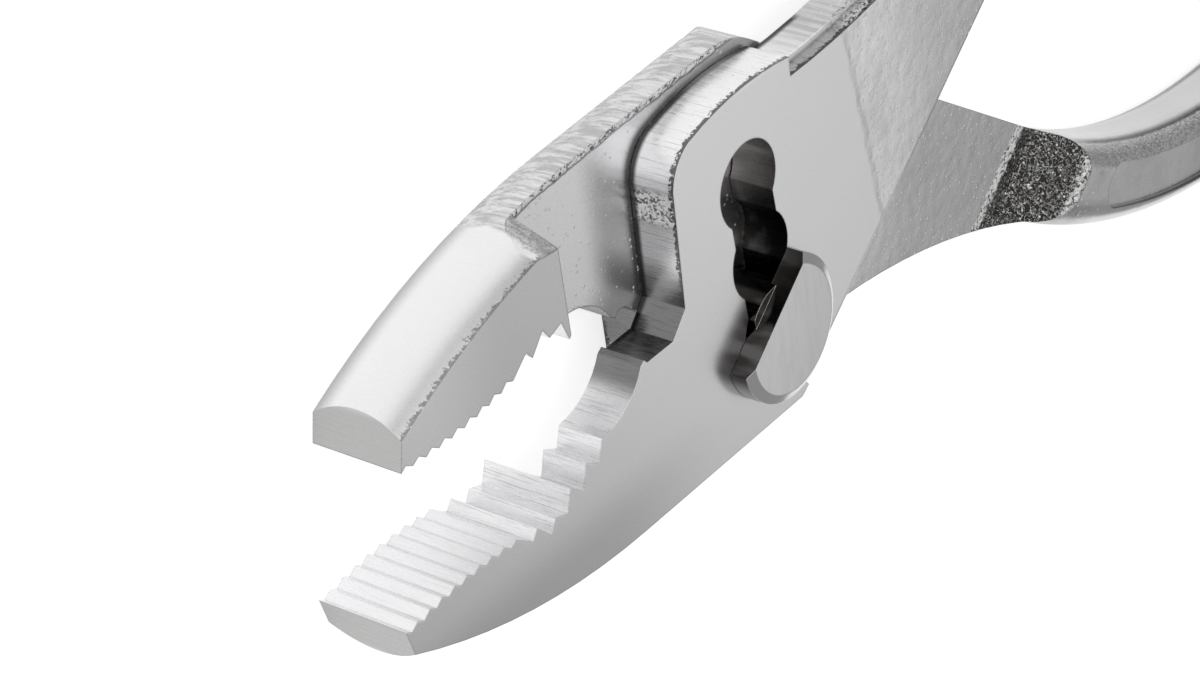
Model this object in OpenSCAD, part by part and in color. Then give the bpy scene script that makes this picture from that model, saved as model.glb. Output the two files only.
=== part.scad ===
// Slip joint pliers, lying flat with the slotted lever on top.
// Origin on the pivot pin's axis, level with the rear faces. X runs from the jaws (-X) to the
// handles (+X) along the front lever's tooth line, and Z is the pin's axis.

/* [Levers] */
// Thickness of each lever where the two cross
plate_t = 4.1; // [3.5:0.1:5]
// Running gap between the two levers
plate_gap = 0.1; // [0.06:0.02:0.2]
// Angle between the two tooth rows as the pliers lie
rest_open = 2.15; // [0:0.05:4]

/* [Jaws] */
// Pin axis to the tip of the front lever's jaw
jaw_len = 46.4; // [45.5:0.1:50]
// How much shorter the back lever's jaw is
jaw_short = 2.5; // [1.5:0.1:3]
// Tooth line to the outer edge at the heel of the jaw
jaw_depth = 8.7; // [8:0.1:10]
// Tooth line to the outer edge at the tip
tip_depth = 2.4; // [1.8:0.1:3.2]
// How far the tip face leans back
tip_lean = 0.6; // [0.2:0.1:1.2]
// Pin axis to the heel, where the curved outer edge turns straight
heel_x = 18.5; // [17:0.5:20]
// Radius of the crown across the outer edge
crown_r = 8.8; // [7:0.1:12]
// Pin axis to the shoulder that ends the full thickness of the jaw
shoulder_x = 26.4; // [25.6:0.1:27]
// Depth of the rough facet at the shoulder's outer corner
corner_depth = 1.1; // [0.9:0.1:1.5]
// Lean of that facet, in degrees
corner_lean = 6.5; // [5:0.5:9]

/* [Teeth] */
// Number of fine teeth
fine_count = 9; // [7:1:9]
// Distance between two fine teeth
fine_pitch = 1.46; // [1.3:0.02:1.48]
// Depth of a fine tooth
fine_depth = 0.45; // [0.3:0.05:0.6]
// Height of the bow of the fine row
fine_bow = 0.45; // [0:0.05:0.6]
// Land between the tip and the first fine tooth
tip_land = 1.3; // [1:0.1:1.6]
// Distance between two coarse steps
coarse_pitch = 2.15; // [2:0.05:2.2]
// Rise that sets the height of the coarse steps
coarse_rise = 2; // [1.6:0.1:2.2]
// Radius of the pipe grip behind the coarse steps
grip_r = 6.1; // [5.6:0.1:6.6]

/* [Cutter] */
// Pin axis to the point of the cutter
cutter_x = 16.4; // [16.2:0.1:17]
// Height of the cutter's point over the tooth line
cutter_y = 5.9; // [5.6:0.1:6.2]
// Depth of the wire seat behind the point
cutter_seat = 0.4; // [0.2:0.1:0.6]

/* [Plate] */
// Pin axis to the plate's front edge
plate_front = 10.8; // [10:0.1:11.5]
// Tooth line to the top of the plate
plate_top = 22; // [21.6:0.1:23]
// Radius of the plate's top edge
plate_top_r = 30; // [26:1:40]
// Radius of the plate's upper front corner
plate_corner_r = 4; // [2:0.5:5]

/* [Slot] */
// Diameter of one seat of the slip slot
seat_d = 7.4; // [6.6:0.1:7.8]
// Distance between two seats
seat_pitch = 6.83; // [6.4:0.01:7]
// Number of seats
seat_count = 3; // [2:1:3]
// Width of the channel that joins the seats
channel_w = 5.6; // [4.6:0.1:6]
// Lean of the slot towards the jaws, in degrees
slot_lean = 6.3; // [0:0.1:8]

/* [Pin] */
// Diameter of the pin's head
head_d = 12.5; // [11:0.1:13.5]
// Height of the straight part of the head's rim
head_rim_h = 1.5; // [1:0.1:2]
// Height of the bevel over the rim
head_bevel_h = 0.45; // [0.2:0.05:0.8]
// Width of the bevel
head_bevel_w = 0.85; // [0.5:0.05:1.2]
// Direction of the chord cut's normal, in degrees
chord_dir = 128; // [90:5:180]
// Clearance of the shank in a seat and in the bore, on the radius
pin_fit = 0.05; // [0.03:0.01:0.08]
// Gap under the head
head_gap = 0.05; // [0.03:0.01:0.1]
// Width of the riveted tail's flare on the radius
tail_flare = 1; // [0.5:0.1:1.4]

/* [Handles] */
// Width of a handle
handle_w = 8.1; // [7.6:0.1:8.6]
// Radius of a handle's rounded edges
handle_edge_r = 3; // [2.4:0.1:3.2]
// Radius of a neck's rounded edges
neck_edge_r = 0.8; // [0.5:0.1:1.4]
// Slope of the neck, in degrees
neck_angle = 36; // [34:0.5:37]
// Radius of the bend along its inner edge
bend_r = 64; // [61:0.2:66]
// Pin axis to the end of the bend
bend_x = 82; // [80:0.5:84]
// Tooth line to the inner edge at the end of the bend
bend_y = 33.4; // [32.5:0.1:34.5]
// Radius of the outward flare behind the bend
flare_r = 225; // [150:5:400]
// Pin axis to the end of a handle
handle_x = 106; // [95:1:115]
// Width of the recessed panel
panel_w = 4.3; // [3:0.1:4.6]
// Depth of the recessed panel
panel_depth = 0.7; // [0.3:0.1:1]
// Slope of the rough facet at the neck, as run over rise
facet_run = 1.2; // [1.2:0.1:2]
// Margin that the neck's shoulder stands off the other lever
neck_margin = 1; // [0.6:0.1:1.4]

/* [Hidden] */
$fn = 96;
over = 1;
seam = 0.03;
reach = 140;
full_t = 2 * plate_t + plate_gap;
mid_z = full_t / 2;

// Crown across the outer edge: its height over the line where it meets the faces
crown_h = crown_r - sqrt(crown_r * crown_r - mid_z * mid_z);
floor_y = -jaw_depth - crown_h;

// Jaw outline: shares of coarse_rise that the coarse steps' valleys and crests stand at
coarse_valley_shares = [-0.75, -1.09, -0.78, -0.42, 0.22];
coarse_crest_shares = [-0.34, -0.57, 0.14, 0.63, 1.12];
bow_set_share = 0.4;
tip_corner_share = 0.3;
coarse_run_share = 0.3;
coarse_lead_share = 0.85;
corner_run_share = 0.39;
jaw_r = (pow(jaw_len - heel_x, 2) + pow(jaw_depth - tip_depth, 2)) / (2 * (jaw_depth - tip_depth));

function fine_x(i) = -jaw_len + tip_land + i * fine_pitch;
function fine_u(i) = 2 * i / (fine_count - 1) - 1;
function fine_y(i) = fine_bow * (1 - bow_set_share - pow(fine_u(i), 2));
function fine_row() = [for (i = [0:fine_count - 1]) each [
    [fine_x(i - 0.5), fine_y(max(i - 0.5, 0)) - fine_depth],
    [fine_x(i), fine_y(i)]
]];

coarse_x = fine_x(fine_count - 1) + coarse_lead_share * coarse_pitch;
coarse_last = len(coarse_crest_shares) - 1;
function coarse_row() = [for (i = [0:coarse_last]) each [
    [coarse_x + i * coarse_pitch, coarse_valley_shares[i] * coarse_rise],
    [coarse_x + (i + coarse_run_share) * coarse_pitch, coarse_crest_shares[i] * coarse_rise]
]];
grip_x = coarse_x + (coarse_last + coarse_run_share) * coarse_pitch;
grip_y = coarse_crest_shares[coarse_last] * coarse_rise;

// Wire seat of the cutter: its floor, and how high its slope climbs to the plate's front edge
seat_y = cutter_y - cutter_seat;
cutter_rise_share = 0.32;
cutter_rise = cutter_rise_share * cutter_y;

// Handle: the inner edge is a straight neck and one bend, tangent to each other
bend_c = [bend_x, bend_y - bend_r];
neck_end = bend_c + bend_r * [-sin(neck_angle), cos(neck_angle)];
neck_dir = [cos(neck_angle), sin(neck_angle)];
neck_up = [-sin(neck_angle), cos(neck_angle)];

// The neck's own edge stands in from the handle's by the seam, and laps into the handle's bar
neck_lap = handle_edge_r / 4;
neck_tip = neck_end + seam * neck_up + neck_lap * neck_dir;
neck_foot = [neck_tip[0] - (neck_tip[1] - floor_y) / tan(neck_angle), floor_y];
heel_r = jaw_depth;
heel_steps = 12;

// The neck's outer edge is a hollow arc, from the handle's outer edge down to the plate's top
hollow_slope = neck_angle * 5 / 6;
hollow_end = bend_c + (bend_r + handle_w) * [-sin(hollow_slope), cos(hollow_slope)];
hollow_top_share = 0.95;
hollow_low = hollow_top_share * plate_top;
hollow_r = (hollow_end[1] - hollow_low) / (1 - cos(hollow_slope));
hollow_c = [hollow_end[0] - hollow_r * sin(hollow_slope), hollow_low + hollow_r];
hollow_cut_r = hollow_r + seam;

// Slot and pin
slot_dir = [-sin(slot_lean), cos(slot_lean)];
slot_len = (seat_count - 1) * seat_pitch;
shank_r = seat_d / 2 - pin_fit;
flat_off = channel_w / 2 - pin_fit;

// The back lever is the same forging turned over, and its bore stands where the last seat is
mate_y = slot_len;

// Handle end: the flare's angle and the centre of the rounded end
flare_c = [bend_x, bend_y + handle_w / 2 + flare_r];
flare_angle = asin((handle_x - handle_w / 2 - bend_x) / flare_r);
end_c = flare_c + flare_r * [sin(flare_angle), -cos(flare_angle)];

// The rounded end laps into the bar
end_lap = handle_edge_r / 8;

// The bar reaches further back in the half that the shoulder trims
back_angle = neck_angle * 4 / 3;

// The shoulder at the neck lies parallel to the other lever's neck
shoulder_off = neck_end[0] * sin(neck_angle) + neck_end[1] * cos(neck_angle) + neck_margin;
panel_start = asin((bend_x - neck_end[0] - handle_w) / (bend_r + handle_w / 2));

// Slope of the neck's inner edge on a lever whose heel stands back by the given length
function neck_slope(short) = atan2(neck_tip[1] - floor_y, neck_tip[0] - neck_foot[0] - short);
function heel_run(short) = heel_r * tan(neck_slope(short) / 2);

// Jaw from the tip to the cutter's point, on a lever that is shorter there by the given length
function jaw_row(short) = [for (p = concat(
    [[-jaw_len + tip_lean * -floor_y / tip_depth, floor_y],
     [-jaw_len, fine_y(0) - tip_corner_share * fine_depth]],
    fine_row(),
    coarse_row(),
    [[-cutter_x, cutter_y], [-cutter_x + cutter_seat, cutter_y - cutter_seat]]
)) p + [short, 0]];

// Plan of the lever's own half: jaw and plate
module own_plan(short) {
    difference() {
        union() {
            polygon(concat(
                jaw_row(short),
                [[-plate_front - cutter_rise, seat_y], [-plate_front, seat_y + cutter_rise],
                 [0, seat_y + cutter_rise], [0, floor_y]]
            ));
            plate_plan();
        }
        translate([grip_x + short, grip_y + grip_r]) circle(grip_r);
    }
}

// Plate: a square front edge, a rounded corner and an arched top
module plate_plan() {
    top_c = [0, plate_top - plate_top_r];
    corner = [plate_corner_r - plate_front, top_c[1]
        + sqrt(pow(plate_top_r - plate_corner_r, 2) - pow(plate_front - plate_corner_r, 2))];
    difference() {
        intersection() {
            translate(top_c) circle(plate_top_r);
            translate([-plate_front, 0]) square([plate_front + hollow_c[0], plate_top]);
        }
        difference() {
            polygon([corner, 2 * corner - top_c, [-2 * plate_front, corner[1]]]);
            translate(corner) circle(plate_corner_r + seam);
        }
    }
}

// Neck: between the heel's arc, the straight inner edge and the hollow outer edge. A lever with a
// shorter jaw has its heel that much further back, and a steeper inner edge.
module neck_plan(short) {
    heel_arc = [for (i = [0:heel_steps]) let (a = neck_slope(short) * i / heel_steps)
        neck_foot + [short - heel_run(short) + heel_r * sin(a), heel_r * (1 - cos(a))]];
    difference() {
        polygon(concat(
            [[-heel_r, floor_y]],
            heel_arc,
            [neck_tip, hollow_end, [hollow_c[0], hollow_end[1]], [-heel_r, cutter_y]]
        ));
        translate(hollow_c) circle(hollow_cut_r, $fn = 360);
    }
}

// Neck in the lever's own half, its two edges rounded on the outer face
module neck(short) {
    difference() {
        linear_extrude(plate_t) neck_plan(short);
        translate(neck_foot + [short, 0]) rotate(neck_slope(short))
            translate([heel_run(short), 0, 0])
            rotate([90, 0, 90]) linear_extrude(reach) edge_section();
        translate(hollow_c) rotate(-90) rotate_extrude(angle = neck_angle, $fn = 360)
            translate([hollow_cut_r, 0]) mirror([1, 0]) edge_section();
    }
}

module edge_section() {
    difference() {
        translate([-over, -over]) square(over + neck_edge_r);
        translate([neck_edge_r, neck_edge_r]) circle(neck_edge_r);
    }
}

// Section with a round rim, as deep as the crown needs
module crown_section(depth) {
    translate([depth - crown_r, mid_z]) circle(crown_r);
    translate([0, mid_z - crown_r]) square([depth - crown_r, 2 * crown_r]);
}

// Everything inside the crowned outer edge, curved in front of the heel and straight behind it
module crown_envelope(short) {
    intersection() {
        translate([short - heel_x, jaw_r - jaw_depth, 0])
            rotate_extrude($fn = 360) crown_section(jaw_r + crown_h);
        translate([short - heel_x - reach, -reach, -reach]) cube([reach, 2 * reach, 2 * reach]);
    }
    translate([short - heel_x, floor_y + reach, 0])
        rotate([90, 0, 90]) mirror([1, 0, 0]) linear_extrude(reach) crown_section(reach);
}

// Everything beyond the rough facet at the outer corner of the jaw's shoulder
module corner_facet(short) {
    translate([short - shoulder_x, corner_depth - jaw_depth, full_t]) rotate(corner_lean)
        translate([-reach / 2, 0, 0]) rotate([90, 0, 90]) linear_extrude(reach)
            polygon([[corner_run_share * over, over], [-corner_run_share * full_t, -full_t],
                     [-reach, -full_t], [-reach, over]]);
}

// Jaw and plate of one lever, its own outer face at z = 0
module jaw_and_plate(short) {
    intersection() {
        union() {
            linear_extrude(plate_t) own_plan(short);
            neck(short);
            difference() {
                linear_extrude(full_t) intersection() {
                    own_plan(short);
                    translate([short - shoulder_x - jaw_len, floor_y - over]) square(jaw_len);
                }
                corner_facet(short);
            }
        }
        crown_envelope(short);
    }
}

// Rounded bar section, standing on z = 0 and centred on x = 0
module bar_section(inset) {
    half_w = handle_w / 2 - handle_edge_r;
    edge_r = handle_edge_r - inset;
    translate([-half_w - edge_r, handle_edge_r]) square([2 * (half_w + edge_r), full_t - 2 * handle_edge_r]);
    translate([-half_w, inset]) square([2 * half_w, full_t - 2 * inset]);
    for (side = [-1, 1], z = [handle_edge_r, full_t - handle_edge_r])
        translate([side * half_w, z]) circle(edge_r);
}

// Handle: the bend, the flare and a rounded end
module handle_bar() {
    difference() {
        translate(bend_c) rotate(90) rotate_extrude(angle = back_angle, $fn = 360)
            translate([bend_r + handle_w / 2, 0]) bar_section(0);
        translate(bend_c) rotate(90 + neck_angle) translate([0, 0, -over])
            cube([reach, reach, over + plate_t]);
    }
    translate(flare_c) rotate(-90) rotate_extrude(angle = flare_angle, $fn = 720)
        translate([flare_r, 0]) bar_section(0);
    translate(end_c) rotate(flare_angle) translate([-end_lap, 0, 0])
        rotate(-90) rotate_extrude(angle = 180) intersection() {
            bar_section(seam);
            square([handle_w, full_t]);
        }
}

// Recessed panel on one face of the handle, its floor at z = panel_depth
module panel_cut() {
    panel_end = flare_angle * 3 / 4;
    translate([0, 0, -over]) {
        translate(bend_c) rotate(90) rotate_extrude(angle = panel_start, $fn = 360)
            translate([bend_r + handle_w / 2 - panel_w / 2, 0]) square([panel_w, over + panel_depth]);
        translate(bend_c + (bend_r + handle_w / 2) * [-sin(panel_start), cos(panel_start)])
            cylinder(h = over + panel_depth, d = panel_w + seam);
        translate(flare_c) rotate(-90) rotate_extrude(angle = panel_end, $fn = 720)
            translate([flare_r - panel_w / 2, 0]) square([panel_w, over + panel_depth]);
        translate(flare_c + flare_r * [sin(panel_end), -cos(panel_end)])
            cylinder(h = over + panel_depth, d = panel_w + seam);
    }
}

// Everything on the far side of the shoulder, in the half that the other lever's neck crosses
module shoulder_cut() {
    rotate(90 - neck_angle) translate([0, 0, plate_t])
        rotate([90, 0, 0]) translate([0, 0, -reach / 2]) linear_extrude(reach)
            polygon([[0, 0], [shoulder_off, 0], [shoulder_off + facet_run * (full_t - plate_t + over),
                     full_t - plate_t + over], [0, full_t - plate_t + over]]);
}

// One lever without its pin hole, its own outer face at z = 0
module lever_blank(short) {
    jaw_and_plate(short);
    difference() {
        handle_bar();
        shoulder_cut();
        panel_cut();
        translate([0, 0, full_t]) mirror([0, 0, 1]) panel_cut();
    }
}

// Slip slot: a row of round seats joined by a narrower channel
module slip_slot() {
    translate([0, 0, -over]) {
        for (i = [0:seat_count - 1])
            translate(i * seat_pitch * slot_dir) cylinder(h = full_t + 2 * over, d = seat_d);
        rotate(slot_lean) translate([-channel_w / 2, 0, 0]) cube([channel_w, slot_len, full_t + 2 * over]);
    }
}

// Cone that the riveted tail fills, opening at z = 0
module tail_cone(r) {
    rotate_extrude() polygon([[0, -over], [r + tail_flare + over, -over], [r, tail_flare], [0, tail_flare]]);
}

module front_lever() {
    color("gainsboro") translate([0, 0, full_t]) mirror([0, 0, 1]) difference() {
        lever_blank(0);
        slip_slot();
    }
}

module back_lever() {
    color("silver") rotate(rest_open) difference() {
        translate([0, mate_y, 0]) mirror([0, 1, 0]) lever_blank(jaw_short);
        translate([0, 0, -over]) cylinder(h = full_t, d = seat_d);
        tail_cone(seat_d / 2);
    }
}

module pivot_pin() {
    color("whitesmoke") {
        rotate_extrude() polygon([
            [0, 0], [shank_r + tail_flare, 0], [shank_r, tail_flare], [shank_r, plate_t], [0, plate_t]
        ]);
        rotate(slot_lean) intersection() {
            cylinder(h = full_t + head_gap + over / 2, r = shank_r);
            translate([-flat_off, -seat_d, 0]) cube([2 * flat_off, 2 * seat_d, 2 * full_t]);
        }
        difference() {
            translate([0, 0, full_t + head_gap]) rotate_extrude() polygon([
                [0, 0], [head_d / 2, 0], [head_d / 2, head_rim_h],
                [head_d / 2 - head_bevel_w, head_rim_h + head_bevel_h],
                [0, head_rim_h + head_bevel_h]
            ]);
            rotate(chord_dir) translate([flat_off, -head_d, full_t]) cube([head_d, 2 * head_d, 2 * full_t]);
        }
    }
}

front_lever();
back_lever();
pivot_pin();
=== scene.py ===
"""Slip joint pliers: finishes, studio stage and camera around the fixed CAD frame."""
from math import cos, radians, sin, tau

import bpy
from mathutils import Matrix, Vector


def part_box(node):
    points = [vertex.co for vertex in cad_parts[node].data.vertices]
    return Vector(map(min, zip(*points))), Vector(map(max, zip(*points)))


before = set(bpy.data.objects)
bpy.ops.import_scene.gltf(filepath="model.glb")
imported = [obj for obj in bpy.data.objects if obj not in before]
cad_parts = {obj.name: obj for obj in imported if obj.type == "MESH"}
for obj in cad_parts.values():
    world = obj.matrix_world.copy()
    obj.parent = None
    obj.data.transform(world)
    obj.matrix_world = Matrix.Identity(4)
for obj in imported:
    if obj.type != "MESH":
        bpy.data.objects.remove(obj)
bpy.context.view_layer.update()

bl_info = {
    "name": "Slip Joint Pliers Finisher",
    "version": (1, 0, 0),
    "blender": (4, 5, 0),
    "location": "View3D > Sidebar > Pliers",
    "description": "Dresses the pliers' forged levers and pivot pin and sets up a plain studio",
    "category": "Object",
}

MM = 0.001

# The frame's own measures, as the part's source has them, in radians and millimetres
REST_OPEN = radians(2.15)
MATE_Y = 13.66
SHORT_JAW = 2.5
NECK_ANGLE = radians(36.0)
CORNER_LEAN = radians(6.5)
JAW_R = 64.93
FULL_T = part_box("front_lever")[1].z / MM
HALF_T = FULL_T / 2

# Landmarks along a lever, in its own frame. U runs from the jaw to the handle, V from the jaw's back
# to its teeth, and W through the thickness, from 0 at the plate's outer face to FULL_T.
SHOULDER_U, SHOULDER_V = -26.4, -7.6
CUTTER_U, CUTTER_V = -14.5, 7.0
HEEL_U = -18.5
SLOT_LEFT_U, SLOT_RIGHT_U = -7.0, 5.4
SLOT_LOW_V, SLOT_TOP_V = -5.0, 18.6
PLATE_EDGE_U, PLATE_TOP_V = 13.4, 18.8
PLATE_EDGE_LEAN = 0.17
FACET_OFF = 44.22

# Where a region fades in: the place with none of it, and the place from which it is full
TIP_U = (-45.2, -45.6)
BACK_TIP_U = (-42.0, -30.0)
FINE_TEETH_U = (-34.0, -30.0)
CORNER_FRONT_U = (-28.5, -27.5)
CORNER_BACK_U = (-26.0, -26.3)
DRESSED_U = (-27.2, -27.8)
MOUTH_U = (-16.0, -14.5)
BRUISE_U = (-9.4, -10.0)
BRUISE_LOW_V = (13.8, 14.8)
BRUISE_TOP_V = (18.0, 16.6)
JAW_SHADE_U = (-6.0, -24.0)
CROWN_SHADE_V = (-1.0, -6.5)
CROWN_SHADE_W = (2.2, 0.0)
RIM_V = (-8.8, -9.1)
SEAT_SHADE_V = (17.0, 8.0)
SKIN_START = (2.8, 3.7)
NECK_SIDE_U = (2.0, 12.0)
NECK_SIDE_W = (0.8, 1.1)
NECK_SHADE_U = (14.0, 30.0)
TORN_V = (7.0, 11.0)
TEAR_W = (0.4, 0.3)
LIP_U = (9.0, 15.0)
LIP_W = (1.1, 0.8)
FACET_ZONE = (-1.8, -1.5)
STRIP_ZONE = (-3.0, -2.7)
HANDLE_U = (44.0, 52.0)

# The same for faces, by their normal's part along an axis
FLAT = (0.96, 0.99)
STEEP = (0.5, 0.3)
PANEL_WALL = (0.6, 0.3)
FACES_CROWN = (-0.3, -0.6)
FACES_TIP = (-0.9, -0.97)
FACES_JAWS = (0.2, 0.5)
FACES_INWARD = (-0.05, -0.2)

# How far each slope runs back for each millimetre of rise
FACET_RUN = 1.2
CORNER_RUN = 0.39

# The cutter's hollow, painted dark as a dark reflection, as the radii where that painted dark starts and is
# full
CUTTER_R = 5.83
CUTTER_FULL_R = 3.74

# The pitch of the pin's turning rings, and the direction in plan that its painted dark reflection faces
RING_PITCH = 0.2618
DARK_REFLECTION_U, DARK_REFLECTION_V = -0.5, 0.87

# Studio, in metres: what the camera looks at, its own axes, and the two soft boxes
AIM = Vector((-16.335, 6.688, 4.15)) * MM
CAMERA_RIGHT = Vector((0.596816, -0.100673, 0.796037))
CAMERA_BACK = Vector((-0.645881, 0.528365, 0.551061))
KEY_PLACE = Vector((-0.35, 0.55, 0.85))
KEY_SIDES = (2.2, 1.8)
CARD_PLACE = Vector((0.598, -0.306, 0.583))
CARD_SIDES = (0.39, 0.325)
FLOOR_GRAY = 0.8
FLOOR_LIFT = 0.62
MIRRORED_LIFT = 0.8


class NodeBuilder:
    """Adds shader nodes to one material and joins them by name."""

    def __init__(self, name):
        self.material = bpy.data.materials.new(name)
        self.material.use_nodes = True
        self.tree = self.material.node_tree
        self.tree.nodes.clear()
        self.output = self.tree.nodes.new("ShaderNodeOutputMaterial")
        self.sizes = bpy.context.scene.pliers_finish

    def own_frame(self, flip=(1, 1, 1), turn=0.0, shift=(0.0, 0.0, 0.0)):
        """Takes object coordinates and normals into the piece's own frame, in millimetres."""
        coords = self.tree.nodes.new("ShaderNodeTexCoord")
        facing = self.mapped(coords.outputs["Normal"], flip, (0, 0, turn), kind="VECTOR")
        self.place = self.mapped(coords.outputs["Object"], tuple(f / MM for f in flip), (0, 0, turn), shift)
        self.u, self.v, self.w = self.split(self.place)
        self.nu, self.nv, nw = self.split(facing)
        self.level = self.math("ABSOLUTE", nw)

    def put(self, socket, value):
        """Links a socket into another, or sets a plain value on it."""
        if isinstance(value, bpy.types.NodeSocket):
            self.tree.links.new(value, socket)
        else:
            socket.default_value = value

    def math(self, operation, *values):
        """One operation of the Math node."""
        node = self.tree.nodes.new("ShaderNodeMath")
        node.operation = operation
        for socket, value in zip(node.inputs, values):
            self.put(socket, value)
        return node.outputs[0]

    def times(self, *factors):
        """All the factors multiplied."""
        product = factors[0]
        for factor in factors[1:]:
            product = self.math("MULTIPLY", product, factor)
        return product

    def most(self, *values):
        """The largest of the values."""
        largest = values[0]
        for value in values[1:]:
            largest = self.math("MAXIMUM", largest, value)
        return largest

    def less(self, value):
        """One minus the value."""
        return self.math("SUBTRACT", 1.0, value)

    def apart(self, value, middle):
        """How far the value is from the middle."""
        return self.math("ABSOLUTE", self.math("SUBTRACT", value, middle))

    def squares(self, a, b):
        """The sum of both squares."""
        return self.math("ADD", self.times(a, a), self.times(b, b))

    def line(self, a, b, c):
        """a * u + b * v + c, over the plan."""
        return self.math("MULTIPLY_ADD", self.u, a, self.math("MULTIPLY_ADD", self.v, b, c))

    def frayed(self, value, noise, width):
        """The value with a noise added, so that an edge drawn from it is ragged."""
        return self.math("ADD", value, self.times(self.math("SUBTRACT", noise, 0.5), width))

    def split(self, vector):
        """The vector's three numbers."""
        node = self.tree.nodes.new("ShaderNodeSeparateXYZ")
        self.put(node.inputs[0], vector)
        return node.outputs

    def mapped(self, vector, scale, rotation=(0, 0, 0), shift=(0, 0, 0), kind="POINT"):
        """The vector scaled, turned and, if it is a point, moved."""
        node = self.tree.nodes.new("ShaderNodeMapping")
        node.vector_type = kind
        self.put(node.inputs["Vector"], vector)
        node.inputs["Scale"].default_value = scale
        node.inputs["Rotation"].default_value = rotation
        if kind == "POINT":
            node.inputs["Location"].default_value = shift
        return node.outputs[0]

    def noise(self, scale, detail=2.0, roughness=0.5, distortion=0.0, stretch=None, turn=0.0):
        """Noise over the piece. Its features are long in the direction where stretch is small."""
        vector = self.mapped(self.place, stretch, (0, 0, turn)) if stretch else self.place
        node = self.tree.nodes.new("ShaderNodeTexNoise")
        self.put(node.inputs["Vector"], vector)
        node.inputs["Scale"].default_value = scale
        node.inputs["Detail"].default_value = detail
        node.inputs["Roughness"].default_value = roughness
        node.inputs["Distortion"].default_value = distortion
        return node.outputs["Fac"]

    def specks(self, scale, share, size):
        """Scattered round specks: one at the centre of a share of the cells."""
        node = self.tree.nodes.new("ShaderNodeTexVoronoi")
        self.put(node.inputs["Vector"], self.place)
        node.inputs["Scale"].default_value = scale
        chosen = self.math("LESS_THAN", self.split(node.outputs["Color"])[0], share)
        return self.times(chosen, self.ramp(node.outputs["Distance"], size, size * 0.3))

    def ramp(self, value, low, high, to_low=0.0, to_high=1.0):
        """Maps the range from low to high smoothly onto another. Low may be the larger one."""
        node = self.tree.nodes.new("ShaderNodeMapRange")
        node.interpolation_type = "SMOOTHSTEP"
        self.put(node.inputs["Value"], value)
        node.inputs["From Min"].default_value = low
        node.inputs["From Max"].default_value = high
        node.inputs["To Min"].default_value = to_low
        node.inputs["To Max"].default_value = to_high
        return node.outputs[0]

    def within(self, value, low, high, soft):
        """One between low and high, fading to none over a soft margin inside them."""
        return self.times(self.ramp(value, low, low + soft), self.ramp(value, high, high - soft))

    def mix(self, factor, a, b):
        """Blends two numbers."""
        node = self.tree.nodes.new("ShaderNodeMix")
        node.data_type = "FLOAT"
        self.put(node.inputs[0], factor)
        self.put(node.inputs[2], a)
        self.put(node.inputs[3], b)
        return node.outputs[0]

    def tint(self, factor, a, b):
        """Blends two colours."""
        node = self.tree.nodes.new("ShaderNodeMix")
        node.data_type = "RGBA"
        self.put(node.inputs[0], factor)
        self.put(node.inputs[6], a)
        self.put(node.inputs[7], b)
        return node.outputs[2]

    def rounded(self, radius):
        """A normal that rounds sharp edges."""
        node = self.tree.nodes.new("ShaderNodeBevel")
        node.samples = 6
        node.inputs["Radius"].default_value = radius
        return node.outputs[0]

    def bump(self, normal, height, distance, strength=1.0):
        """The normal tilted by a height of up to that distance."""
        node = self.tree.nodes.new("ShaderNodeBump")
        self.put(node.inputs["Height"], height)
        self.put(node.inputs["Normal"], normal)
        node.inputs["Distance"].default_value = distance
        node.inputs["Strength"].default_value = strength
        return node.outputs[0]

    def metal(self, color, roughness, normal, scatter=0.0):
        """Bare metal, which scatters light instead of mirroring it as far as scatter says."""
        shader = self.tree.nodes.new("ShaderNodeBsdfPrincipled")
        self.put(shader.inputs["Metallic"], self.less(scatter) if scatter else 1.0)
        self.put(shader.inputs["Base Color"], color)
        self.put(shader.inputs["Roughness"], roughness)
        self.put(shader.inputs["Normal"], normal)
        self.put(self.output.inputs["Surface"], shader.outputs[0])
        return self.material


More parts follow.
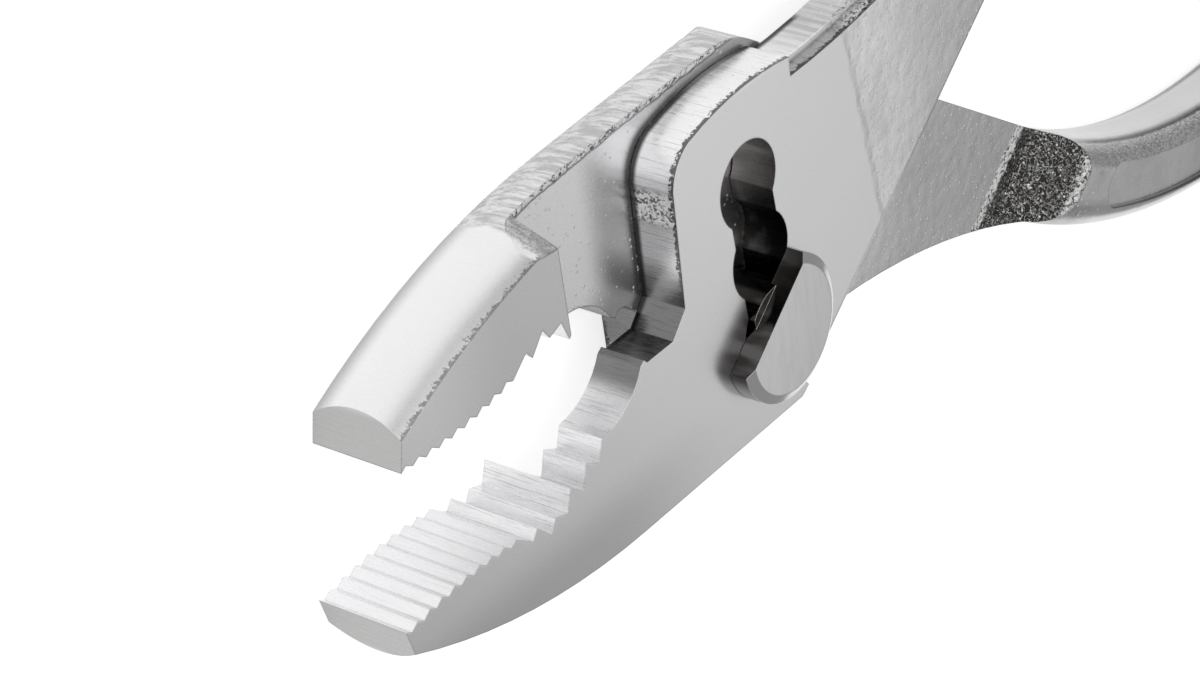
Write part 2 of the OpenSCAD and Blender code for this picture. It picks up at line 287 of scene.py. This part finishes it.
class LeverBuilder(NodeBuilder):
    """Marks a forged lever's regions, each a mask from 0 to 1, and draws its finish from them."""

    def __init__(self, name, short, flip, turn, shift):
        super().__init__(name)
        self.own_frame(flip, turn, shift)
        self.short = short
        self.jaw_u = self.math("SUBTRACT", self.u, short)
        self.mark_skin()
        self.mark_facet()
        self.mark_shoulder()
        self.mark_ground()
        self.mark_hollows()
        self.mark_scale()
        self.mark_handle()

    def mark_skin(self):
        """Flats, and the forged skin behind the plate's ground flat, which ends in a round corner."""
        self.flat = self.ramp(self.level, *FLAT)
        self.steep = self.less(self.flat)
        self.mating = self.times(self.ramp(self.apart(self.w, HALF_T), 0.2, 0.1), self.flat)
        self.wander = self.noise(0.5, 3.0, 0.6)
        edge = self.math("ADD", self.line(1.0, PLATE_EDGE_LEAN, -PLATE_EDGE_U), self.wander)
        top = self.math("SUBTRACT", self.v, PLATE_TOP_V)
        past = self.math("SQRT", self.squares(self.most(edge, 0.0), self.most(top, 0.0)))
        self.forged = self.ramp(past, *SKIN_START)
        self.handle = self.ramp(self.u, *HANDLE_U)
        self.before_handle = self.less(self.handle)

    def mark_facet(self):
        """Rough facet at the foot of the handle, with a scaly strip in front of it."""
        along = self.line(sin(NECK_ANGLE), cos(NECK_ANGLE), -FACET_OFF)
        rise = self.math("MULTIPLY_ADD", self.w, FACET_RUN, -FACET_RUN * HALF_T)
        ragged = self.frayed(along, self.noise(1.6), 1.2)
        self.slope = self.times(self.ramp(self.w, HALF_T - 0.1, HALF_T - 0.05),
                                self.ramp(self.apart(along, rise), 0.4, 0.2))
        self.facet = self.most(self.slope, self.times(self.mating, self.ramp(ragged, *FACET_ZONE)))
        self.strip = self.times(self.mating, self.ramp(ragged, *STRIP_ZONE), self.less(self.facet))

    def mark_shoulder(self):
        """Sloping facet at the shoulder, and the scaly rim of the web, which follows the jaw's back."""
        through = (self.short + SHOULDER_U) * sin(CORNER_LEAN) - SHOULDER_V * cos(CORNER_LEAN)
        across = self.line(-sin(CORNER_LEAN), cos(CORNER_LEAN), through)
        rise = self.math("MULTIPLY_ADD", self.w, CORNER_RUN, -CORNER_RUN * FULL_T)
        self.corner = self.times(self.ramp(self.w, HALF_T - 0.02, HALF_T + 0.06),
                                 self.ramp(self.apart(across, rise), 0.12, 0.06),
                                 self.ramp(self.jaw_u, *CORNER_FRONT_U),
                                 self.ramp(self.jaw_u, *CORNER_BACK_U))
        before_heel = self.math("MINIMUM", self.math("SUBTRACT", self.jaw_u, HEEL_U), 0.0)
        rim_v = self.math("SUBTRACT", self.v, self.times(before_heel, before_heel, 0.5 / JAW_R))
        rim_v = self.math("ADD", rim_v, self.times(self.wander, 0.5))
        self.rim = self.times(self.mating, self.ramp(rim_v, *RIM_V), self.less(self.forged))

    def mark_ground(self):
        """Ground walls: belt marks on the crown but not on its dressed front, broach marks on the teeth."""
        self.wall = self.times(self.steep, self.less(self.forged))
        self.crown = self.times(self.wall, self.ramp(self.nv, *FACES_CROWN))
        self.mouth = self.times(self.wall, self.less(self.crown))
        front = self.math("ADD", self.jaw_u, self.times(self.wander, 1.2))
        self.dressed = self.times(self.crown, self.ramp(front, *DRESSED_U))
        self.neck_side = self.times(self.steep, self.ramp(self.u, *NECK_SIDE_U), self.before_handle,
                                    self.ramp(self.w, *NECK_SIDE_W))
        undressed = self.less(self.times(self.dressed, 0.93))
        self.ground = self.most(self.times(self.wall, undressed, self.less(self.corner)), self.neck_side)
        self.belt = self.noise(1.6, 4.0, 0.7, stretch=(1.0, 1.0, 0.06))
        self.broach = self.noise(5.0, 3.0, 0.7, stretch=(1.0, 1.0, 0.04))
        self.marks = self.mix(self.crown, self.broach, self.belt)

    def mark_hollows(self):
        """The jaw's blunt tip, the cutter's round hollow and the slot's walls."""
        self.tip = self.times(self.wall, self.ramp(self.nu, *FACES_TIP), self.ramp(self.jaw_u, *TIP_U))
        distance_squared = self.squares(self.math("SUBTRACT", self.jaw_u, CUTTER_U),
                                        self.math("SUBTRACT", self.v, CUTTER_V))
        self.cutter = self.times(self.mouth, self.ramp(distance_squared, CUTTER_R ** 2, CUTTER_FULL_R ** 2))
        self.slot = self.times(self.ramp(self.level, *STEEP),
                               self.within(self.u, SLOT_LEFT_U, SLOT_RIGHT_U, 0.6),
                               self.within(self.v, SLOT_LOW_V, SLOT_TOP_V, 0.6))

    def mark_scale(self):
        """Small relief, the torn edge that looks towards the jaws, the chipped scale and the painted
        glints.
        """
        ridges = self.apart(self.noise(1.9, 3.0, 0.6, 1.2), 0.5)
        self.worms = self.ramp(ridges, 0.008, 0.038, 1.0, 0.0)
        self.scale = self.noise(3.0, 3.0, 0.7, 0.5)
        self.peel = self.math("ADD", self.noise(0.7), self.times(self.noise(3.4), 0.15))
        self.grain = self.noise(14.0, 2.0, 0.6)

        self.torn_w = self.frayed(self.w, self.scale, 1.6)
        torn = self.times(self.steep, self.ramp(self.math("SUBTRACT", self.nv, self.nu), *FACES_JAWS),
                          self.ramp(self.v, *TORN_V), self.before_handle)
        self.tear = self.times(torn, self.ramp(self.torn_w, *TEAR_W))
        lip = self.times(torn, self.ramp(self.torn_w, *LIP_W), self.ramp(self.u, *LIP_U))
        bruise = self.times(self.wall, self.ramp(self.u, *BRUISE_U),
                            self.ramp(self.v, *BRUISE_LOW_V), self.ramp(self.v, *BRUISE_TOP_V))
        top_w = self.frayed(self.w, self.scale, 3.0)
        top_edge = self.times(self.slope, self.ramp(top_w, FULL_T - 0.7, FULL_T - 0.4))
        self.scaly = self.most(self.strip, self.rim, lip, bruise, top_edge)

        coarse = self.most(self.forged, self.times(self.mating, self.ramp(self.wander, 0.4, 0.6)))
        # Painted glints: bright specks on the forged skin and on rough patches of the mating faces
        self.sparkle = self.times(self.specks(2.1, 0.35, 0.34), self.before_handle, coarse)
        self.chips_and_glints = self.most(self.times(self.scaly, self.ramp(self.scale, 0.42, 0.5)), self.sparkle)

    def mark_handle(self):
        """Painted dark reflection along the handle's inner rounding, the rough band beside it, and the
        panel's edge.
        """
        tilt = self.frayed(self.level, self.scale, 0.12)
        inner = self.times(self.handle, self.steep, self.ramp(self.nv, *FACES_INWARD))
        # Painted dark reflection in a line along the inner rounding, fading out softly towards its steeper
        # part
        self.painted_dark_line = self.times(inner, self.ramp(tilt, 0.15, 0.42), self.ramp(tilt, 0.52, 0.44))
        self.band = self.times(inner, self.ramp(tilt, 0.44, 0.52))
        # Painted shadow line along the panel's edge
        self.panel_edge = self.times(self.handle, self.ramp(self.level, *PANEL_WALL),
                                     self.ramp(self.apart(self.w, HALF_T), HALF_T - 0.7, HALF_T - 0.6))

    def far(self):
        """Where the plate is darker: the neck, the handle and the jaw, less so at the back lever's tip
        and at the front lever's teeth."""
        # Painted shade, by how the light falls across the flats and the forged skin
        jawward = self.times(self.ramp(self.u, *JAW_SHADE_U), self.less(self.times(self.mating, 0.6)))
        if self.short:
            fade = self.ramp(self.u, *BACK_TIP_U, 0.1, 1.0)
        else:
            fade = self.ramp(self.v, *CROWN_SHADE_V, 0.1, 1.0)
        return self.times(self.most(self.flat, self.forged),
                          self.most(self.times(jawward, fade), self.ramp(self.u, *NECK_SHADE_U)))

    def dull_and_shade(self):
        """Where belt, broach and rough band leave duller metal, and painted shade on the dressed crown."""
        streaks = self.ramp(self.belt, 0.4, 0.6, 0.9, 0.25)
        # Painted shade: the dressed crown darker towards the plate's outer face
        shaded = self.ramp(self.w, *CROWN_SHADE_W, 0.08, 0.8)
        teeth = self.times(self.ground, self.less(self.crown), self.ramp(self.broach, 0.36, 0.48, 0.5, 0.0),
                           self.ramp(self.jaw_u, *FINE_TEETH_U, 0.3, 1.0))
        scuffs = self.mix(self.band, 0.3, self.ramp(self.scale, 0.4, 0.55, 0.9, 0.0))
        return self.most(teeth,
                         self.times(self.neck_side, self.ramp(self.belt, 0.4, 0.6, 0.95, 0.55)),
                         self.times(self.tip, 0.9),
                         self.times(self.crown, self.mix(self.dressed, streaks, shaded)),
                         self.times(self.handle, self.steep, scuffs),
                         self.times(self.mating, self.forged, 0.35))

    def painted_shade_and_dark_lines(self):
        """Painted shade in lines, and darker lines along torn edges and sharp corners."""
        # Painted shadow in the gap at the mouth, painted dark reflection on the handle, painted shadow at
        # the panel's edge
        gap_shadow = self.times(self.mouth, self.ramp(self.jaw_u, *MOUTH_U),
                           self.ramp(self.w, HALF_T - 0.75, HALF_T - 0.3),
                           self.ramp(self.w, HALF_T + 0.1, HALF_T))
        crown_edge = self.times(self.dressed, self.ramp(self.torn_w, FULL_T - 0.3, FULL_T - 0.15))
        return self.most(self.times(gap_shadow, 0.95), self.times(self.tear, 0.85), self.times(self.painted_dark_line, 0.9),
                         self.times(self.panel_edge, 0.7), self.times(crown_edge, 0.6))

    def color(self):
        """The plate's colour, with the darker and brighter regions laid over it one by one."""
        sizes = self.sizes
        patches = self.ramp(self.noise(0.14, 3.0), 0.35, 0.75, 0.0, 0.25)
        # The facet's dark scale, with its winding ridges painted bright as their highlights
        wormy = self.tint(self.worms, sizes.scale_and_shade_color, sizes.chip_and_glint_color)
        # The slot walls' own colour at the upper end, painted darker as shade towards the lower end
        slot_shade = self.tint(self.ramp(self.v, *SEAT_SHADE_V), sizes.seat_color, sizes.scale_and_shade_color)
        seat_patches = self.ramp(self.noise(0.5), 0.25, 0.6, 0.85, 1.0)
        layers = (
            # Painted shade towards the jaws, the neck and the handles
            (self.far(), sizes.far_shade_color),
            (self.dull_and_shade(), sizes.ground_and_shade_color),
            # Painted dark reflection in the cutter's hollow
            (self.times(self.cutter, 0.75), sizes.scale_and_shade_color),
            (self.times(self.forged, patches), sizes.ground_and_shade_color),
            (self.most(self.facet, self.times(self.corner, 0.3)), wormy),
            (self.times(self.scaly, 0.8), sizes.scale_and_shade_color),
            # Chipped scale painted brighter, and painted glints
            (self.chips_and_glints, sizes.chip_and_glint_color),
            # Painted shade in lines, with darker torn and sharp edges
            (self.painted_shade_and_dark_lines(), sizes.scale_and_shade_color),
            # Painted shade in the slot, over the walls' own colour and tone patches
            (self.times(self.slot, seat_patches), slot_shade),
        )
        color = sizes.plate_color
        for mask, layer in layers:
            color = self.tint(mask, color, layer)
        return color

    def roughness(self):
        """Satin on the flats, rougher along the ground marks, smooth on the handle's rounding."""
        rough = self.mix(self.forged, self.ramp(self.grain, 0.3, 0.7, 0.27, 0.33),
                         self.ramp(self.peel, 0.4, 0.8, 0.24, 0.3))
        rough = self.mix(self.ground, rough, self.ramp(self.marks, 0.35, 0.65, 0.2, 0.34))
        rough = self.mix(self.most(self.facet, self.scaly), rough, 0.3)
        return self.mix(self.times(self.handle, self.forged, self.steep), rough, 0.17)

    def relief(self):
        """Rounded edges, with each kind of small relief added in turn."""
        sizes = self.sizes
        bumpy = self.times(self.forged, self.less(self.times(self.handle, 0.75)))
        rough_facets = self.most(self.facet, self.times(self.corner, 0.3))
        ground = self.times(self.marks, self.ground, self.mix(self.crown, 0.5, 6.0))
        normal = self.rounded(sizes.edge_round)
        for height, depth in (
            (self.times(self.peel, bumpy), sizes.peel_depth),
            (self.forged, -sizes.skin_step),
            (self.sparkle, sizes.speck_height),
            (ground, sizes.grind_depth),
            (self.times(self.worms, rough_facets), sizes.worm_height),
            (self.times(self.scale, self.most(self.scaly, self.band)), sizes.scale_height),
            (self.grain, sizes.grain_depth),
        ):
            normal = self.bump(normal, height, depth)
        return normal


class FinishSizes(bpy.types.PropertyGroup):
    """Finish of the plated steel, with the shade, dark reflections and glints painted on it."""

    plate_color: bpy.props.FloatVectorProperty(
        name="Plate Colour", description="Satin nickel plate on the levers",
        default=(0.88, 0.88, 0.89, 1.0), size=4, min=0, max=1, subtype="COLOR")
    # Painted shade: the plate darker towards the jaws and the handles, by how the light falls
    far_shade_color: bpy.props.FloatVectorProperty(
        name="Far Colour", description="The same plate towards the jaws and the handles",
        default=(0.66, 0.66, 0.665, 1.0), size=4, min=0, max=1, subtype="COLOR")
    # Chipped forging scale painted brighter, and painted glints on the forged skin and the facet's ridges
    chip_and_glint_color: bpy.props.FloatVectorProperty(
        name="Chip Colour", description="Bright rough chips where the plate sits on forging scale",
        default=(0.97, 0.97, 0.96, 1.0), size=4, min=0, max=1, subtype="COLOR")
    # Also carries the painted shade on the dressed crown
    ground_and_shade_color: bpy.props.FloatVectorProperty(
        name="Ground Colour", description="Duller metal where a belt or broach has been",
        default=(0.42, 0.42, 0.415, 1.0), size=4, min=0, max=1, subtype="COLOR")
    # Dark forging scale, and the painted shade and painted dark reflections at the mouth, cutter, slot,
    # handle and pin
    scale_and_shade_color: bpy.props.FloatVectorProperty(
        name="Dark Colour", description="Oil and soot in the slot, the cutter and the forged hollows",
        default=(0.033, 0.03, 0.028, 1.0), size=4, min=0, max=1, subtype="COLOR")
    seat_color: bpy.props.FloatVectorProperty(
        name="Seat Colour", description="Thin oil film at the slot's upper end",
        default=(0.62, 0.59, 0.57, 1.0), size=4, min=0, max=1, subtype="COLOR")
    head_color: bpy.props.FloatVectorProperty(
        name="Pin Colour", description="Polished plate on the pin's head",
        default=(0.62, 0.62, 0.62, 1.0), size=4, min=0, max=1, subtype="COLOR")
    edge_round: bpy.props.FloatProperty(
        name="Edge Rounding", description="Radius of the softened edges",
        default=0.15 * MM, min=0, unit="LENGTH")
    grind_depth: bpy.props.FloatProperty(
        name="Grinding Depth", description="Depth of the marks that the belt leaves",
        default=0.03 * MM, min=0, unit="LENGTH")
    peel_depth: bpy.props.FloatProperty(
        name="Peel Depth", description="Depth of the orange peel on the forged skin",
        default=0.035 * MM, min=0, unit="LENGTH")
    skin_step: bpy.props.FloatProperty(
        name="Skin Step", description="Step at the edge of the ground plate, where the forged skin starts",
        default=0.06 * MM, min=0, unit="LENGTH")
    speck_height: bpy.props.FloatProperty(
        name="Speck Height", description="Height of the bright specks on the forged skin",
        default=0.03 * MM, min=0, unit="LENGTH")
    worm_height: bpy.props.FloatProperty(
        name="Worm Height", description="Height of the winding ridges on the rough facet",
        default=0.3 * MM, min=0, unit="LENGTH")
    scale_height: bpy.props.FloatProperty(
        name="Scale Height", description="Height of the forging scale",
        default=0.15 * MM, min=0, unit="LENGTH")
    grain_depth: bpy.props.FloatProperty(
        name="Grain Depth", description="Depth of the plate's finest grain",
        default=0.0015 * MM, min=0, unit="LENGTH")
    ring_depth: bpy.props.FloatProperty(
        name="Ring Depth", description="Depth of the turning rings on the pin's head",
        default=0.0001 * MM, min=0, unit="LENGTH")
    scuff_depth: bpy.props.FloatProperty(
        name="Scuff Depth", description="Depth of the scuffs on the pin's head",
        default=0.0008 * MM, min=0, unit="LENGTH")


class StageSizes(bpy.types.PropertyGroup):
    """Floor, lamps and camera."""

    floor_size: bpy.props.FloatProperty(
        name="Floor Size", description="Side of the square floor",
        default=6.0, min=1, unit="LENGTH")
    key_power: bpy.props.FloatProperty(
        name="Key Power", description="Power of the large soft box over the jaws",
        default=8.5, min=0, unit="POWER")
    card_power: bpy.props.FloatProperty(
        name="Card Power", description="Power of the soft box that the flats mirror",
        default=0.205, min=0, unit="POWER")
    sky: bpy.props.FloatProperty(
        name="Sky", description="Strength of the room's even light",
        default=0.37, min=0, max=2)
    lens: bpy.props.FloatProperty(
        name="Lens", description="Focal length in millimetres on a 36 mm sensor",
        default=119.3, min=10, max=400)
    distance: bpy.props.FloatProperty(
        name="Camera Distance", description="Camera to the point it looks at",
        default=304.0 * MM, min=0.05, unit="LENGTH")


def lever_material(name, short, flip, turn, shift):
    """Plated steel by region: satin flats, ground edges, forged skin, a rough facet and a slot darkened by
    painted shade.
    """
    b = LeverBuilder(name, short, flip, turn, shift)
    return b.metal(b.color(), b.roughness(), b.relief(), b.times(b.chips_and_glints, 0.85))


def pin_material():
    """Polished plate with faint turning rings, scuffs, and a painted dark reflection on its side towards
    the slot.
    """
    b = NodeBuilder("polished pin plate")
    b.own_frame()
    rings = b.math("SINE", b.times(b.math("SQRT", b.squares(b.u, b.v)), tau / RING_PITCH))
    scuff = b.noise(1.8, 3.0, 0.6, stretch=(1.0, 0.15, 1.0), turn=0.8)
    side = b.ramp(b.level, *STEEP)
    dark_reflection = b.ramp(b.math("MULTIPLY_ADD", b.nu, DARK_REFLECTION_U, b.times(b.nv, DARK_REFLECTION_V)), -0.1, 0.35)
    streak = b.ramp(b.noise(0.5, stretch=(1.0, 1.0, 0.3)), 0.4, 0.55, 0.88, 1.0)
    # Painted shade below the front plate's face, and painted dark reflection on the side towards the slot
    dark = b.most(b.ramp(b.w, FULL_T, FULL_T - 0.8), b.times(side, dark_reflection, streak))
    color = b.tint(dark, b.sizes.head_color, b.sizes.scale_and_shade_color)
    normal = b.bump(b.rounded(b.sizes.edge_round), rings, b.sizes.ring_depth, 0.5)
    normal = b.bump(normal, scuff, b.sizes.scuff_depth, 0.5)
    return b.metal(color, b.ramp(scuff, 0.35, 0.75, 0.14, 0.18), normal)


def floor_material():
    """Pale floor: seen directly it is lifted to white, and it keeps the object's shadow."""
    b = NodeBuilder("pale floor")
    shader = b.tree.nodes.new("ShaderNodeBsdfDiffuse")
    shader.inputs["Color"].default_value = (FLOOR_GRAY, FLOOR_GRAY, FLOOR_GRAY, 1.0)
    glow = b.tree.nodes.new("ShaderNodeEmission")
    glow.inputs["Color"].default_value = (1.0, 1.0, 1.0, 1.0)
    path = b.tree.nodes.new("ShaderNodeLightPath")
    mirrored = b.times(path.outputs["Is Glossy Ray"], MIRRORED_LIFT)
    lift = b.most(path.outputs["Is Camera Ray"], mirrored)
    b.put(glow.inputs["Strength"], b.times(lift, FLOOR_LIFT))
    both = b.tree.nodes.new("ShaderNodeAddShader")
    b.put(both.inputs[0], shader.outputs[0])
    b.put(both.inputs[1], glow.outputs[0])
    b.put(b.output.inputs["Surface"], both.outputs[0])
    return b.material


def dress(node, material):
    """Gives a CAD node its one material."""
    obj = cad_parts[node]
    obj.data.materials.clear()
    obj.data.materials.append(material)


def lay_floor(scene, side):
    """A square floor under the object, on the stage."""
    half = side / 2
    corners = [(-half, -half, 0), (half, -half, 0), (half, half, 0), (-half, half, 0)]
    mesh = bpy.data.meshes.new("floor")
    mesh.from_pydata(corners, [], [(0, 1, 2, 3)])
    mesh.materials.append(floor_material())
    floor = bpy.data.objects.new("floor", mesh)
    scene.collection.objects.link(floor)


def light_room(scene, strength):
    """An even white light from all sides."""
    world = bpy.data.worlds.new("room")
    world.use_nodes = True
    background = world.node_tree.nodes["Background"]
    background.inputs["Color"].default_value = (1.0, 1.0, 1.0, 1.0)
    background.inputs["Strength"].default_value = strength
    scene.world = world


def hang_lamp(scene, name, place, sides, power):
    """A soft box that points at what the camera looks at."""
    data = bpy.data.lights.new(name, "AREA")
    data.shape = "RECTANGLE"
    data.size, data.size_y = sides
    data.energy = power
    lamp = bpy.data.objects.new(name, data)
    lamp.location = place
    lamp.rotation_mode = "QUATERNION"
    lamp.rotation_quaternion = (AIM - place).to_track_quat("-Z", "Y")
    scene.collection.objects.link(lamp)


def set_camera(scene, lens, distance):
    """The photograph's camera, found by matching the pin's rim and the teeth."""
    back = CAMERA_BACK.normalized()
    up = back.cross(CAMERA_RIGHT).normalized()
    right = up.cross(back)
    data = bpy.data.cameras.new("camera")
    data.sensor_width = 36.0
    data.lens = lens
    data.clip_start, data.clip_end = 0.01, 50.0
    camera = bpy.data.objects.new("camera", data)
    axes = Matrix((right, up, back)).transposed().to_4x4()
    camera.matrix_world = Matrix.Translation(AIM + back * distance) @ axes
    scene.collection.objects.link(camera)
    scene.camera = camera


class PLIERS_OT_front_lever(bpy.types.Operator):
    """Finish the slotted front lever"""

    bl_idname = "pliers.front_lever"
    bl_label = "Front Lever"

    def execute(self, context):
        material = lever_material("front lever plate", 0.0, (1, 1, -1), 0.0, (0, 0, FULL_T))
        dress("front_lever", material)
        return {"FINISHED"}


class PLIERS_OT_back_lever(bpy.types.Operator):
    """Finish the back lever"""

    bl_idname = "pliers.back_lever"
    bl_label = "Back Lever"

    def execute(self, context):
        material = lever_material("back lever plate", SHORT_JAW, (1, -1, 1), REST_OPEN, (0, MATE_Y, 0))
        dress("back_lever", material)
        return {"FINISHED"}


class PLIERS_OT_pivot_pin(bpy.types.Operator):
    """Finish the pivot pin"""

    bl_idname = "pliers.pivot_pin"
    bl_label = "Pivot Pin"

    def execute(self, context):
        dress("pivot_pin", pin_material())
        return {"FINISHED"}


class PLIERS_OT_stage(bpy.types.Operator):
    """Lay the floor, hang the lamps and set the camera"""

    bl_idname = "pliers.stage"
    bl_label = "Stage"

    def execute(self, context):
        scene = context.scene
        sizes = scene.pliers_stage
        lay_floor(scene, sizes.floor_size)
        light_room(scene, sizes.sky)
        hang_lamp(scene, "key", KEY_PLACE, KEY_SIDES, sizes.key_power)
        hang_lamp(scene, "mirror card", CARD_PLACE, CARD_SIDES, sizes.card_power)
        set_camera(scene, sizes.lens, sizes.distance)
        scene.view_settings.view_transform = "Standard"
        return {"FINISHED"}


class PLIERS_PT_panel(bpy.types.Panel):
    """Sidebar panel with the pliers' finishes"""

    bl_idname = "PLIERS_PT_panel"
    bl_label = "Pliers"
    bl_space_type = "VIEW_3D"
    bl_region_type = "UI"
    bl_category = "Pliers"

    def draw(self, context):
        layout = self.layout
        for group in (context.scene.pliers_finish, context.scene.pliers_stage):
            box = layout.box()
            for name in group.__annotations__:
                box.prop(group, name)
        for operator in OPERATORS:
            layout.operator(operator.bl_idname)


OPERATORS = (PLIERS_OT_front_lever, PLIERS_OT_back_lever, PLIERS_OT_pivot_pin, PLIERS_OT_stage)
CLASSES = (FinishSizes, StageSizes) + OPERATORS + (PLIERS_PT_panel,)


def register():
    for cls in CLASSES:
        bpy.utils.register_class(cls)
    bpy.types.Scene.pliers_finish = bpy.props.PointerProperty(type=FinishSizes)
    bpy.types.Scene.pliers_stage = bpy.props.PointerProperty(type=StageSizes)


def unregister():
    del bpy.types.Scene.pliers_stage
    del bpy.types.Scene.pliers_finish
    for cls in reversed(CLASSES):
        bpy.utils.unregister_class(cls)


def main():
    register()
    bpy.ops.pliers.front_lever()
    bpy.ops.pliers.back_lever()
    bpy.ops.pliers.pivot_pin()
    bpy.ops.pliers.stage()


if __name__ == "__main__":
    main()
